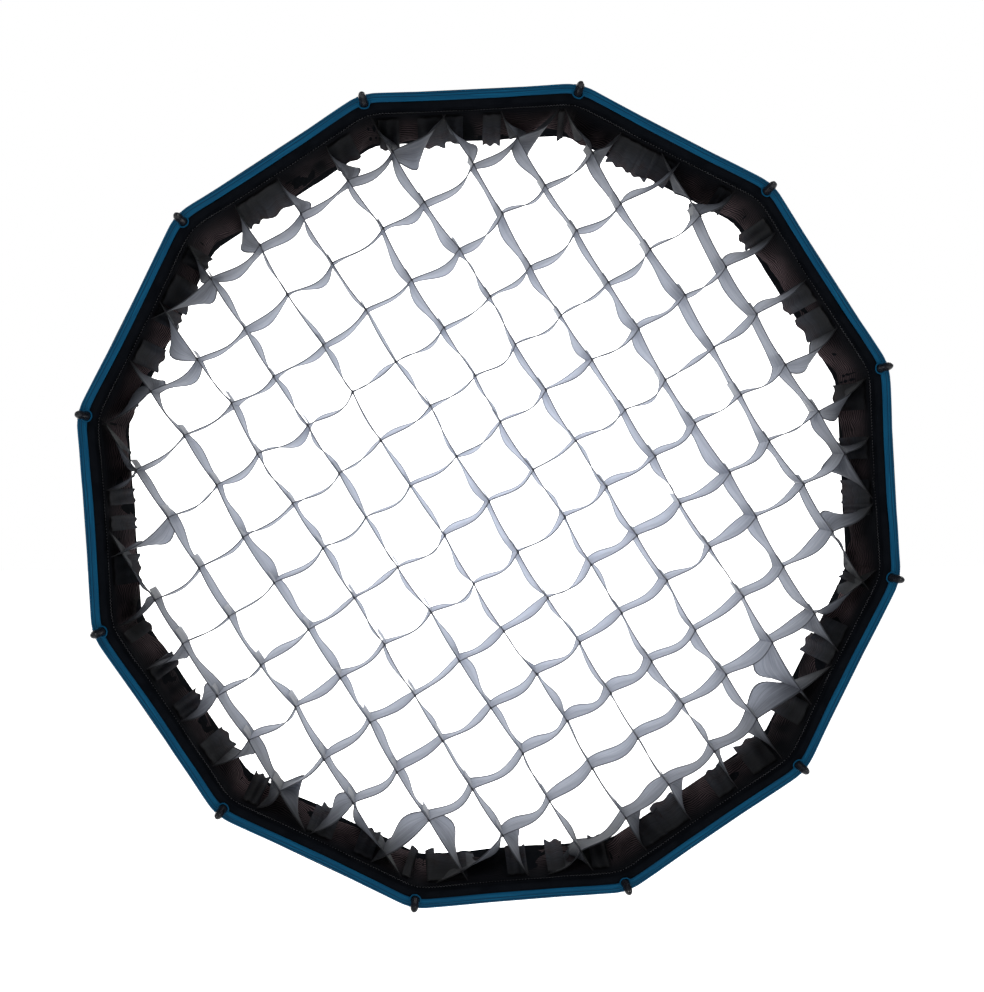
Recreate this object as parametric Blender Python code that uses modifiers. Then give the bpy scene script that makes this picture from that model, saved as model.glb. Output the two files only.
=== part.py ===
"""Folding twelve-sided softbox with a recessed front diffuser and a fabric grid.

Metres, +Z up. The box's axis is Y: the light head seats at y = 0, behind it is +Y,
and the box opens towards -Y. Every rod lies in its own meridional plane, so a rod's
pieces are modelled with the rod straight up (radial direction +Z) and then turned
about Y to their place.
"""
import math

import bmesh
import bpy
from mathutils import Vector

# Driving dimensions
RODS = 12
FIRST_ROD_DEG = 11.44        # first rod, clockwise from straight up, seen from the front
PITCH_DEG = 360 / RODS
GAP = 0.0003                 # running gap between neighbouring pieces
OVERLAP = 0.002              # how far solids that are joined or cut run into each other

# Rods: straight in the socket, then one arc out to the rim
HINGE_RADIUS = 0.080         # axis of the box to the socket hinge
HINGE_Y = -0.018
ROD_RADIUS = 0.003
ROD_START_DEG = 63           # rod's slope from the box's axis at the hub
ROD_END_DEG = 21             # and at the rim
ROD_END_RADIUS = 0.4500      # axis of the box to the rod's front end
ROD_STRAIGHT = 0.045         # from the hinge to where the arc starts
ROD_ROOT = 0.014             # from the hinge to the rod's root, inside its socket
ROD_ARC_POINTS = 10

# Sockets
SOCKET_HALF_WIDTH = 0.007
SOCKET_HALF_DEPTH = 0.0055
SOCKET_HEEL_RADIUS = 0.0065
SOCKET_NECK = 0.010          # from the hinge to the flat sides
SOCKET_CHAMFER = 0.002
SOCKET_BORE_RADIUS = 0.0037
TRUNNION_RADIUS = 0.0025
TRUNNION_REACH = 0.0100

# Rod tips
TIP_RADIUS = 0.0046
TIP_GRIP = 0.0145            # length of rod inside the tip
TIP_NOSE = 0.0105            # length of tip beyond the rod's end
TIP_TAPER = 0.0090           # its rounded part

# Hub and bayonet insert, as radii about the box's axis and y along it
INSERT_BORE = 0.050
INSERT_OUTER = 0.058
INSERT_FLANGE = 0.066
INSERT_FRONT_Y = -0.0600
FLANGE_FRONT_Y = -0.0075
COLLAR_OUTER = 0.0535
COLLAR_REAR_Y = 0.012
LUG_OUTER = 0.0575
LUG_HALF_WIDTH = 0.011
LUG_Y = (0.0110, 0.0065)
HUB_INNER = INSERT_OUTER + 2 * GAP
HUB_SLEEVE = 0.0620
HUB_OUTER = 0.093
HUB_REAR_Y = -0.008
HUB_FRONT_Y = -0.030
SLEEVE_FRONT_Y = -0.0555
SLOT_INNER = 0.0705
SLOT_HALF_WIDTH = SOCKET_HALF_WIDTH + 2 * GAP
COVER_OUTER = 0.0955
COVER_Y = (-0.0015, HUB_REAR_Y + GAP)
CIRCLIP_OUTER = 0.0630
CIRCLIP_Y = (-0.0560, -0.0580)
LATCH_OUTER = 0.0755
LATCH_Y = (-0.0305, -0.0365)
LATCH_STEP = 0.0025          # the flange stands out from the skirt by this, and starts as far down
LATCH_EDGE = 0.0005
SPRING_Y = (-0.0370, -0.0470)
SPRING_WIDTH = 0.0064
SPRING_THICKNESS = 0.0008
SPRING_WAVES = 4
STOP_OUTER = 0.0700
STOP_Y = (-0.0475, -0.0500)
RING_STEPS = 36

# Thumb screw, half-way between two rods near the bottom
KNOB_DEG = FIRST_ROD_DEG + 5.5 * PITCH_DEG
KNOB_Y = -0.0135
KNOB_RADIUS = 0.0075
KNOB_BASE = 0.0965
KNOB_TOP = 0.1125
SCREW_RADIUS = 0.003
FLUTES = 8
FLUTE_DEPTH = 0.10           # share of the knob's radius

# Shell gores: the cloth's outer skin stands off the rod's centre line by these offsets
CLOTH = 0.0012
HUB_OFFSET = 0.0096
WALL_OFFSET = 0.0058
GORE_START = 0.026           # from the hinge, along the rod
WALL_LEVELS = 10
RIM_RADIUS = 0.4575          # axis of the box to the rim's outer corner
RIM_WIDTH = 0.0205
RIM_BEFORE_ROD_END = 0.0105  # the rod leaves the rim this far short of its end
LIP_OFFSET = 0.0060
TIP_HOLE_RADIUS = 0.0054
TIP_HOLE_REACH = 0.008        # behind the rim's plane and ahead of it, along the rod

# Front set, as depths behind the rim's plane, rear first, and inner baffle
LIP_DEPTH = 0.0660
DIFFUSER_DEPTH = (0.0575, 0.0560)
EDGE_CLEARANCE = 0.0015
BAND_DEPTH = (0.0535, 0.0060)
BAND_THICKNESS = 0.0020
STRIP_DEPTH = (0.0530, 0.0065)
STRIP_PITCH = 0.061
STRIP_THICKNESS = 0.0016
STRIP_END_GAP = 0.0012
STRIP_TURN_DEG = 33.8        # one family's slope above +X, the other is square to it
STRIP_PHASE = (-0.0058, 0.0002)  # where a crossing lies from the box's axis
BAFFLE_Y = (-0.1900, -0.1912)
BAFFLE_RADIUS = 0.285

COLOURS = {
    "black cloth": ((0.020, 0.021, 0.026), 0.90, 0.0),
    "white cloth": ((0.90, 0.90, 0.88), 0.80, 0.0),
    "grid cloth": ((0.035, 0.038, 0.050), 0.85, 0.0),
    "black plastic": ((0.018, 0.018, 0.020), 0.45, 0.0),
    "gloss plastic": ((0.010, 0.010, 0.012), 0.18, 0.0),
    "rod": ((0.060, 0.060, 0.065), 0.35, 0.4),
    "anodised metal": ((0.16, 0.17, 0.18), 0.38, 0.9),
    "bright metal": ((0.62, 0.63, 0.65), 0.30, 1.0),
}


def polar(degrees):
    """Unit vector in a meridional plane (y, z), the given angle from the box's axis."""
    a = math.radians(degrees)
    return Vector((0, -math.cos(a), math.sin(a)))


def outward(degrees):
    """Normal of that direction, away from the inside of the box."""
    a = math.radians(degrees)
    return Vector((0, math.sin(a), math.cos(a)))


HINGE = Vector((0, HINGE_Y, HINGE_RADIUS))
ARC_START = HINGE + ROD_STRAIGHT * polar(ROD_START_DEG)
HALF_TURN = math.radians((ROD_START_DEG - ROD_END_DEG) / 2)
MEAN_SLOPE = math.radians((ROD_START_DEG + ROD_END_DEG) / 2)
CHORD = (ROD_END_RADIUS - ARC_START.z) / math.sin(MEAN_SLOPE)
ARC_RADIUS = CHORD / 2 / math.sin(HALF_TURN)
ARC_CENTRE = ARC_START - ARC_RADIUS * outward(ROD_START_DEG)


def on_arc(slope, offset=0.0):
    """Point on the rod's arc where its slope is as given, moved outwards by offset."""
    return ARC_CENTRE + (ARC_RADIUS + offset) * outward(slope)


ROD_END = on_arc(ROD_END_DEG)
RIM_SLOPE = ROD_END_DEG + math.degrees(RIM_BEFORE_ROD_END / ARC_RADIUS)
RIM_Y = on_arc(RIM_SLOPE).y


def slope_at(y, offset):
    """Slope of the arc where a curve at that offset from it crosses the plane y."""
    return math.degrees(math.asin((y - ARC_CENTRE.y) / (ARC_RADIUS + offset)))


def lip_radius(y):
    """Corner radius of the lip's inner skin in the plane y."""
    offset = -LIP_OFFSET - CLOTH
    return on_arc(slope_at(y, offset), offset).z


def material(name):
    found = bpy.data.materials.get(name)
    if found:
        return found
    made = bpy.data.materials.new(name)
    made.use_nodes = True
    colour, roughness, metallic = COLOURS[name]
    shader = made.node_tree.nodes["Principled BSDF"]
    shader.inputs["Base Color"].default_value = (*colour, 1)
    shader.inputs["Roughness"].default_value = roughness
    shader.inputs["Metallic"].default_value = metallic
    return made


def clear_scene():
    for obj in list(bpy.data.objects):
        bpy.data.objects.remove(obj, do_unlink=True)
    collection = bpy.data.collections.new("octabox")
    bpy.context.scene.collection.children.link(collection)
    return collection


PARTS = clear_scene()


def new_object(name, data, colour=None):
    obj = bpy.data.objects.new(name, data)
    PARTS.objects.link(obj)
    if colour:
        data.materials.clear()
        data.materials.append(material(colour))
    return obj


def mesh_of(name, bm):
    data = bpy.data.meshes.new(name)
    bm.to_mesh(data)
    bm.free()
    return data


def baked(obj):
    """The object's evaluated mesh in its own axes; the object itself is removed."""
    bpy.context.view_layer.update()
    depsgraph = bpy.context.evaluated_depsgraph_get()
    data = bpy.data.meshes.new_from_object(obj.evaluated_get(depsgraph))
    bpy.data.objects.remove(obj, do_unlink=True)
    return data


def combine(data, others, operation):
    """data with each of the other meshes cut from it or joined to it, in turn."""
    for other in others:
        obj = new_object("work", data)
        tool = new_object("tool", other)
        step = obj.modifiers.new("boolean", "BOOLEAN")
        step.operation = operation
        step.solver = "EXACT"
        step.object = tool
        data = baked(obj)
        bpy.data.objects.remove(tool, do_unlink=True)
    return data


def smooth(data, angle=35):
    data.shade_smooth()
    data.set_sharp_from_angle(angle=math.radians(angle))
    return data


def turned(profile, steps=RING_STEPS, first_deg=0.0):
    """Solid of revolution about Y from (radius, y) points, rear to front on the outer side."""
    bm = bmesh.new()
    points = [bm.verts.new((r, 0, y)) for r, y in profile]
    on_axis = [p.co.x < 1e-9 for p in points]
    ends = list(zip(points, points[1:]))
    if not any(on_axis):
        ends.append((points[-1], points[0]))
    for a, b in ends:
        bm.edges.new((a, b))
    obj = new_object("turned", mesh_of("turned", bm))
    screw = obj.modifiers.new("screw", "SCREW")
    screw.axis = "Z"
    screw.steps = screw.render_steps = steps
    screw.use_merge_vertices = True
    screw.merge_threshold = 0.00001
    data = baked(obj)
    # the profile is drawn in the X-Z plane with its axis up: lay that axis along Y,
    # with the first corner at the given angle clockwise from straight up
    for v in data.vertices:
        x, y, z = v.co
        v.co = (y, z, x)
    turn_about_y(data, first_deg)
    return data


def turn_about_y(data, degrees):
    a = math.radians(degrees)
    for v in data.vertices:
        x, y, z = v.co
        v.co = (x * math.cos(a) + z * math.sin(a), y, z * math.cos(a) - x * math.sin(a))
    return data


def box(low, high):
    bm = bmesh.new()
    bmesh.ops.create_cube(bm, size=1)
    low, high = Vector(low), Vector(high)
    for v in bm.verts:
        v.co = (low + high) / 2 + Vector(c * s for c, s in zip(v.co, high - low))
    return mesh_of("box", bm)


def cylinder(start, end, radius, sides=12):
    """Capped cylinder between two points."""
    bm = bmesh.new()
    start, end = Vector(start), Vector(end)
    along = end - start
    bmesh.ops.create_cone(
        bm, cap_ends=True, segments=sides, radius1=radius, radius2=radius, depth=along.length
    )
    turn = along.to_track_quat("Z", "Y")
    for v in bm.verts:
        v.co = turn @ v.co + (start + end) / 2
    return mesh_of("cylinder", bm)


def merged(meshes):
    """Several meshes that don't touch, as one."""
    bm = bmesh.new()
    for data in meshes:
        bm.from_mesh(data)
    return mesh_of("merged", bm)


# ---------------------------------------------------------------- hub


def bayonet_insert():
    data = turned(
        [
            (COLLAR_OUTER, COLLAR_REAR_Y),
            (COLLAR_OUTER, 0),
            (INSERT_FLANGE, 0),
            (INSERT_FLANGE, FLANGE_FRONT_Y),
            (INSERT_OUTER, FLANGE_FRONT_Y),
            (INSERT_OUTER, INSERT_FRONT_Y),
            (INSERT_BORE, INSERT_FRONT_Y),
            (INSERT_BORE, COLLAR_REAR_Y),
        ]
    )
    rear, front = LUG_Y
    low = (-LUG_HALF_WIDTH, front, COLLAR_OUTER - OVERLAP)
    high = (LUG_HALF_WIDTH, rear, LUG_OUTER)
    lugs = [turn_about_y(box(low, high), degrees) for degrees in (0, 120, 240)]
    data = combine(data, lugs, "UNION")
    new_object("bayonet_insert", smooth(data), "bright metal")


def ring(name, inner, outer, y_range, colour, chamfer=0.0):
    """Plain turned ring, its rear outer edge bevelled if a chamfer is given."""
    rear, front = y_range
    profile = [(outer, front), (inner, front), (inner, rear), (outer - chamfer, rear)]
    if chamfer:
        profile.append((outer, rear - chamfer))
    new_object(name, smooth(turned(profile)), colour)


def hub_base():
    """Ring with a slot and a pair of trunnion holes for each socket, and a sleeve."""
    data = turned(
        [
            (HUB_INNER, HUB_REAR_Y),
            (HUB_OUTER, HUB_REAR_Y),
            (HUB_OUTER, HUB_FRONT_Y),
            (HUB_SLEEVE, HUB_FRONT_Y),
            (HUB_SLEEVE, SLEEVE_FRONT_Y),
            (HUB_INNER, SLEEVE_FRONT_Y),
        ],
        steps=RING_STEPS,
        first_deg=FIRST_ROD_DEG,
    )
    slot = (
        (-SLOT_HALF_WIDTH, HUB_FRONT_Y - OVERLAP, SLOT_INNER),
        (SLOT_HALF_WIDTH, HUB_REAR_Y + OVERLAP, HUB_OUTER + OVERLAP),
    )
    reach = TRUNNION_REACH + GAP
    hole_radius = TRUNNION_RADIUS + 2 * GAP
    slots, holes = [], []
    for n in range(RODS):
        angle = FIRST_ROD_DEG + n * PITCH_DEG
        slots.append(turn_about_y(box(*slot), angle))
        start, end = HINGE - Vector((reach, 0, 0)), HINGE + Vector((reach, 0, 0))
        holes.append(turn_about_y(cylinder(start, end, hole_radius, 10), angle))
    screw_hole = cylinder(
        (0, KNOB_Y, HUB_INNER - OVERLAP), (0, KNOB_Y, HUB_OUTER + OVERLAP), SCREW_RADIUS + GAP
    )
    cuts = [merged(slots), merged(holes), turn_about_y(screw_hole, KNOB_DEG)]
    new_object("hub_base", smooth(combine(data, cuts, "DIFFERENCE")), "black plastic")


def latch_ring():
    """Finger ring: a flange to pull on, with a thin skirt that bears on the sockets' heels."""
    rear, front = LATCH_Y
    inner, skirt = HUB_SLEEVE + GAP, LATCH_OUTER - LATCH_STEP
    data = turned(
        [
            (inner, rear),
            (skirt, rear),
            (skirt, rear - LATCH_STEP + LATCH_EDGE),
            (skirt + LATCH_EDGE, rear - LATCH_STEP),
            (LATCH_OUTER, rear - LATCH_STEP),
            (LATCH_OUTER, front + LATCH_EDGE),
            (LATCH_OUTER - LATCH_EDGE, front),
            (inner, front),
        ]
    )
    new_object("latch_ring", smooth(data), "anodised metal")


def wave_spring():
    """One-turn wave spring between the latch ring and its stop."""
    rear, front = SPRING_Y
    inner = HUB_SLEEVE + 2 * GAP
    outer, half = inner + SPRING_WIDTH, SPRING_THICKNESS / 2
    data = turned([(inner, half), (outer, half), (outer, -half), (inner, -half)])
    swing = (rear - front) / 2 - half - GAP
    for v in data.vertices:
        around = math.atan2(v.co.x, v.co.z)
        v.co.y += (rear + front) / 2 + swing * math.cos(SPRING_WAVES * around)
    new_object("latch_spring", smooth(data), "bright metal")


def lock_knob():
    """Thumb screw: a shank through the hub and a fluted head."""
    screw_end = INSERT_OUTER + 2 * GAP
    head = cylinder((0, KNOB_Y, KNOB_BASE), (0, KNOB_Y, KNOB_TOP), KNOB_RADIUS, 16)
    for v in head.vertices:
        around = math.atan2(v.co.y - KNOB_Y, v.co.x)
        flute = 1 - FLUTE_DEPTH * (0.5 - 0.5 * math.cos(FLUTES * around))
        v.co.x *= flute
        v.co.y = KNOB_Y + (v.co.y - KNOB_Y) * flute
    shank = cylinder((0, KNOB_Y, screw_end), (0, KNOB_Y, KNOB_BASE + OVERLAP), SCREW_RADIUS, 12)
    data = combine(head, [shank], "UNION")
    centre = Vector((0, KNOB_Y, KNOB_BASE))
    for v in data.vertices:
        v.co -= centre
    obj = new_object("lock_knob", smooth(data), "black plastic")
    place_at_angle(obj, centre, KNOB_DEG)


def place_at_angle(obj, centre, degrees):
    """Puts an object modelled about centre, radial direction up, at its angle."""
    a = math.radians(degrees)
    obj.rotation_euler = (0, a, 0)
    obj.location = (centre.z * math.sin(a), centre.y, centre.z * math.cos(a))


# ---------------------------------------------------------------- one rod's pieces


def socket_mesh():
    """Hinged socket about its trunnion: round heel, straight body, blind bore for the rod."""
    along, up = polar(ROD_START_DEG), outward(ROD_START_DEG)
    heel = []
    for n in range(7):
        a = math.radians(90 + 180 * n / 6)
        heel.append(SOCKET_HEEL_RADIUS * (math.cos(a) * along + math.sin(a) * up))
    mouth, chamfer = ROD_STRAIGHT, SOCKET_CHAMFER
    neck = SOCKET_NECK
    half = SOCKET_HALF_DEPTH
    outline = heel + [
        neck * along - half * up,
        (mouth - chamfer) * along - half * up,
        mouth * along - (half - chamfer) * up,
        mouth * along + (half - chamfer) * up,
        (mouth - chamfer) * along + half * up,
        neck * along + half * up,
    ]
    bm = bmesh.new()
    side = Vector((SOCKET_HALF_WIDTH, 0, 0))
    face = bm.faces.new([bm.verts.new(p - side) for p in outline])
    moved = bmesh.ops.extrude_face_region(bm, geom=[face])["geom"]
    bmesh.ops.translate(
        bm, vec=2 * side, verts=[g for g in moved if isinstance(g, bmesh.types.BMVert)]
    )
    bmesh.ops.recalc_face_normals(bm, faces=bm.faces)
    data = mesh_of("socket", bm)
    reach = Vector((TRUNNION_REACH, 0, 0))
    data = combine(data, [cylinder(-reach, reach, TRUNNION_RADIUS, 10)], "UNION")
    bore = cylinder(
        (ROD_ROOT - GAP) * along, (mouth + OVERLAP) * along, SOCKET_BORE_RADIUS, 12
    )
    return smooth(combine(data, [bore], "DIFFERENCE"))


def rod_mesh():
    gripped = ROD_END_DEG + math.degrees((TIP_GRIP + OVERLAP) / ARC_RADIUS)
    slopes = [
        ROD_START_DEG + (gripped - ROD_START_DEG) * n / ROD_ARC_POINTS
        for n in range(ROD_ARC_POINTS + 1)
    ]
    path = [ROD_ROOT * polar(ROD_START_DEG)] + [on_arc(s) - HINGE for s in slopes + [ROD_END_DEG]]
    curve = bpy.data.curves.new("rod", "CURVE")
    curve.dimensions = "3D"
    curve.bevel_depth = ROD_RADIUS
    curve.bevel_resolution = 2
    curve.use_fill_caps = True
    spline = curve.splines.new("POLY")
    spline.points.add(len(path) - 1)
    for point, p in zip(spline.points, path):
        point.co = (*p, 1)
    data = baked(new_object("rod", curve))
    bm = bmesh.new()
    bm.from_mesh(data)
    bmesh.ops.remove_doubles(bm, verts=bm.verts, dist=0.00001)
    return smooth(mesh_of("rod", bm))


def tip_mesh():
    """Bullet-shaped cap on the rod's front end, with a blind bore."""
    bore = ROD_RADIUS + 2 * GAP
    profile = [(0, TIP_NOSE)]
    for degrees in (75, 60, 45, 30, 15, 0):
        a = math.radians(degrees)
        profile.append((TIP_RADIUS * math.cos(a), TIP_NOSE - TIP_TAPER * (1 - math.sin(a))))
    profile += [(TIP_RADIUS, -TIP_GRIP), (bore, -TIP_GRIP), (bore, GAP), (0, GAP)]
    data = turned(profile, steps=16)
    along = polar(ROD_END_DEG)
    turn = along.to_track_quat("Y", "Z")
    for v in data.vertices:
        v.co = turn @ v.co + (ROD_END - HINGE)
    return smooth(data)


def gore_levels():
    """Outer skin of a gore along its rod, from the hub over the rim and back down the lip."""
    levels = [
        HINGE + s * polar(ROD_START_DEG) + HUB_OFFSET * outward(ROD_START_DEG)
        for s in (GORE_START, ROD_STRAIGHT + 3 * GAP)
    ]
    for n in range(1, WALL_LEVELS):
        slope = ROD_START_DEG + (RIM_SLOPE - ROD_START_DEG) * n / WALL_LEVELS
        levels.append(on_arc(slope, WALL_OFFSET))
    levels.append(Vector((0, RIM_Y, RIM_RADIUS)))
    levels.append(Vector((0, RIM_Y, RIM_RADIUS - RIM_WIDTH)))
    for share in (0.3, 0.65, 1.0):
        slope = slope_at(RIM_Y + share * LIP_DEPTH, -LIP_OFFSET)
        levels.append(on_arc(slope, -LIP_OFFSET))
    return levels


def gore_mesh():
    """Cloth between the two half-way lines beside one rod, as a folded thin shell."""
    half_pitch = math.radians(PITCH_DEG / 2)
    bm = bmesh.new()
    rows = []
    for p in gore_levels():
        edge = p.z * math.cos(half_pitch)
        x = edge * math.sin(half_pitch) - GAP * math.cos(half_pitch)
        z = edge * math.cos(half_pitch) + GAP * math.sin(half_pitch)
        corners = [(-x, p.y, z), (0, p.y, p.z), (x, p.y, z)]
        rows.append([bm.verts.new(Vector(c) - HINGE) for c in corners])
    for row, after in zip(rows, rows[1:]):
        for n in range(2):
            bm.faces.new([row[n], row[n + 1], after[n + 1], after[n]])
    obj = new_object("gore", mesh_of("gore", bm))
    shell = obj.modifiers.new("solidify", "SOLIDIFY")
    shell.thickness = CLOTH
    shell.offset = 1
    shell.use_even_offset = True
    data = baked(obj)
    centre = ROD_END - HINGE - RIM_BEFORE_ROD_END * polar(ROD_END_DEG)
    reach = TIP_HOLE_REACH * polar(ROD_END_DEG)
    hole = cylinder(centre - reach, centre + reach, TIP_HOLE_RADIUS, 12)
    return smooth(combine(data, [hole], "DIFFERENCE"), 60)


def rods():
    pieces = [
        ("rod_socket", socket_mesh(), "black plastic"),
        ("rod", rod_mesh(), "rod"),
        ("rod_tip", tip_mesh(), "gloss plastic"),
        ("shell_gore", gore_mesh(), "black cloth"),
    ]
    for name, data, colour in pieces:
        for n in range(RODS):
            obj = new_object(f"{name}_{n + 1:02d}", data, colour)
            place_at_angle(obj, HINGE, FIRST_ROD_DEG + n * PITCH_DEG)


# ---------------------------------------------------------------- front set and baffle


def plate(name, corner_radius, y_range, colour):
    """Flat cloth with a corner in front of each rod."""
    rear, front = y_range
    centre_rear, centre_front = (0, rear), (0, front)
    profile = [centre_rear, (corner_radius, rear), (corner_radius, front), centre_front]
    new_object(name, turned(profile, steps=RODS, first_deg=FIRST_ROD_DEG), colour)


def behind_rim(depths):
    return [RIM_Y + depth for depth in depths]


def band_corners():
    """Corner radii of the band's outer skin, at its rear and front edges."""
    return [lip_radius(y) - EDGE_CLEARANCE for y in behind_rim(BAND_DEPTH)]


def grid_band():
    """Cloth band that lies along the lip and carries the ribbons' ends."""
    (rear, front), (wide_rear, wide_front) = behind_rim(BAND_DEPTH), band_corners()
    inner_rear, inner_front = wide_rear - BAND_THICKNESS, wide_front - BAND_THICKNESS
    profile = [(inner_rear, rear), (wide_rear, rear), (wide_front, front), (inner_front, front)]
    new_object("grid_band", turned(profile, steps=RODS, first_deg=FIRST_ROD_DEG), "grid cloth")


def strip_lines(phase, reach):
    first = math.ceil((-reach - phase) / STRIP_PITCH)
    last = math.floor((reach - phase) / STRIP_PITCH)
    return [phase + n * STRIP_PITCH for n in range(first, last + 1)]


def grid_strips():
    """Two crossing families of upright ribbons, cut off just inside the perimeter band."""
    rear, front = behind_rim(STRIP_DEPTH)
    flat_side = math.cos(math.radians(PITCH_DEG / 2))
    reach, front_reach = [
        (corner - BAND_THICKNESS) * flat_side - STRIP_END_GAP for corner in band_corners()
    ]
    half = STRIP_THICKNESS / 2
    across = strip_lines(STRIP_PHASE[0], reach)
    along = strip_lines(STRIP_PHASE[1], reach)
    inside = {
        (i, j) for i, u in enumerate(across) for j, v in enumerate(along)
        if math.hypot(abs(u) + half, abs(v) + half) < reach
    }
    bm = bmesh.new()
    made, ends = {}, {}

    def corner_at(u, v):
        key = round(u, 7), round(v, 7)
        if key not in made:
            made[key] = bm.verts.new((u, rear, v))
        return made[key]

    def patch(u0, u1, v0, v1):
        bm.faces.new([corner_at(u0, v0), corner_at(u1, v0), corner_at(u1, v1), corner_at(u0, v1)])

    for i, j in sorted(inside):
        u, v = across[i], along[j]
        patch(u - half, u + half, v - half, v + half)
        end_u = math.sqrt(reach**2 - (abs(v) + half) ** 2)
        end_v = math.sqrt(reach**2 - (abs(u) + half) ** 2)
        after_u = across[i + 1] - half if (i + 1, j) in inside else end_u
        after_v = along[j + 1] - half if (i, j + 1) in inside else end_v
        for side in (-half, half):
            for way in (-1, 1):
                ends[round(way * end_u, 7), round(v + side, 7)] = "u"
                ends[round(u + side, 7), round(way * end_v, 7)] = "v"
        patch(u + half, after_u, v - half, v + half)
        patch(u - half, u + half, v + half, after_v)
        if (i - 1, j) not in inside:
            patch(-end_u, u - half, v - half, v + half)
        if (i, j - 1) not in inside:
            patch(u - half, u + half, -end_v, v - half)
    bmesh.ops.recalc_face_normals(bm, faces=bm.faces)
    top = bmesh.ops.extrude_face_region(bm, geom=bm.faces[:])["geom"]
    for v in [g for g in top if isinstance(g, bmesh.types.BMVert)]:
        key = round(v.co.x, 7), round(v.co.z, 7)
        v.co.y = front
        # the ribbons' ends follow the band, which is wider at the front
        if key in ends and ends[key] == "u":
            v.co.x = math.copysign(math.sqrt(front_reach**2 - v.co.z**2), v.co.x)
        elif key in ends:
            v.co.z = math.copysign(math.sqrt(front_reach**2 - v.co.x**2), v.co.z)
    bmesh.ops.recalc_face_normals(bm, faces=bm.faces)
    data = turn_about_y(mesh_of("grid_strips", bm), -STRIP_TURN_DEG)
    new_object("grid_strips", data, "grid cloth")


def main():
    bayonet_insert()
    ring("insert_circlip", INSERT_OUTER + GAP, CIRCLIP_OUTER, CIRCLIP_Y, "bright metal")
    hub_base()
    ring("hub_rear_cover", INSERT_FLANGE + 2 * GAP, COVER_OUTER, COVER_Y, "black plastic", 0.002)
    latch_ring()
    wave_spring()
    ring("latch_stop_ring", HUB_SLEEVE + GAP, STOP_OUTER, STOP_Y, "anodised metal")
    lock_knob()
    rods()
    diffuser_y = behind_rim(DIFFUSER_DEPTH)
    plate("front_diffuser", lip_radius(diffuser_y[0]) - EDGE_CLEARANCE, diffuser_y, "white cloth")
    grid_band()
    grid_strips()
    plate("inner_baffle", BAFFLE_RADIUS, BAFFLE_Y, "white cloth")


main()
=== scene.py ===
"""Looks for the folding twelve-sided softbox: sewn cloth, binding, grid ribbons, finishes.

Metres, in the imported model's frame: the box's axis is Y, it opens towards -Y, +Z is up.
A rod's pieces are worked out in its own meridional plane, as (radius, y) points, and in
rod axes: x along the rim, z straight out along the rod's plane.
"""
import math
import random

import bpy
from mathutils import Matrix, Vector, noise


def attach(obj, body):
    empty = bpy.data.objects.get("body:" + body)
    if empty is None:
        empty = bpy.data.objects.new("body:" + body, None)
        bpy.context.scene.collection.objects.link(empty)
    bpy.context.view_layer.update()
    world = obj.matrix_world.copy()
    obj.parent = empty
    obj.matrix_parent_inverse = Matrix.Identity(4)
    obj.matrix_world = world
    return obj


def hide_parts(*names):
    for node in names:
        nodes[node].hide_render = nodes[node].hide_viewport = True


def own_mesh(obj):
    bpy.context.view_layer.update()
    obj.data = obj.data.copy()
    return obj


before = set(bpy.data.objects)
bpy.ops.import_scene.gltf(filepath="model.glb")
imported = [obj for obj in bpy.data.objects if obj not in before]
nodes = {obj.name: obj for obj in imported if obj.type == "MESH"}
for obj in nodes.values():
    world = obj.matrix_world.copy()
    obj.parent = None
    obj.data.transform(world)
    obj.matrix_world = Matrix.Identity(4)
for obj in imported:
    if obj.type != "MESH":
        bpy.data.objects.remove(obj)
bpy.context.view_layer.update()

# The CAD's own dimensions, which the cloth follows
RODS = 12
FIRST_ROD_DEG = 11.44
PITCH_DEG = 360 / RODS
HALF_PITCH = math.radians(PITCH_DEG / 2)
HINGE_RADIUS = 0.080
HINGE_Y = -0.018
ROD_START_DEG = 63
ROD_END_DEG = 21
ROD_END_RADIUS = 0.4500
ROD_STRAIGHT = 0.045
GORE_START = 0.026
HUB_OFFSET = 0.0096
WALL_OFFSET = 0.0058
RIM_RADIUS = 0.4575
RIM_BEFORE_ROD_END = 0.0105
LIP_OFFSET = 0.0060
LIP_DEPTH = 0.0660
DIFFUSER_DEPTH = 0.0560
EDGE_CLEARANCE = 0.0015
BAFFLE_RADIUS = 0.285
BAFFLE_Y = -0.1912
PANEL_BACK = 0.0008          # each panel lies that far behind its CAD's front face

# Cloth
CLOTH = 0.0009
SAG = 0.0035                 # how far the shell pulls in between two rods
CASING_HALF = 0.0055         # raised casing over each rod
CASING_RISE = 0.0008
TAPE_HALF = 0.0095           # seam tape beside it
TAPE_RISE = 0.0003
SHELL_ZONES = 7
WRINKLES = ((0.0016, 0.07, 3.0), (0.0007, 0.022, 9.0))     # (height, scale, noise seed)

# Binding round the rim, and the loop of piping each rod tip comes out of
BINDING_FACE = 0.0102
LOOP_RADIUS = 0.0054
LOOP_THICKNESS = 0.0008
BINDING_GROOVES = (0.0170, 0.0203)     # along its profile from the rear edge
STITCH_DEPTH = 0.0075        # zigzag line, behind the rim's plane

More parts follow.
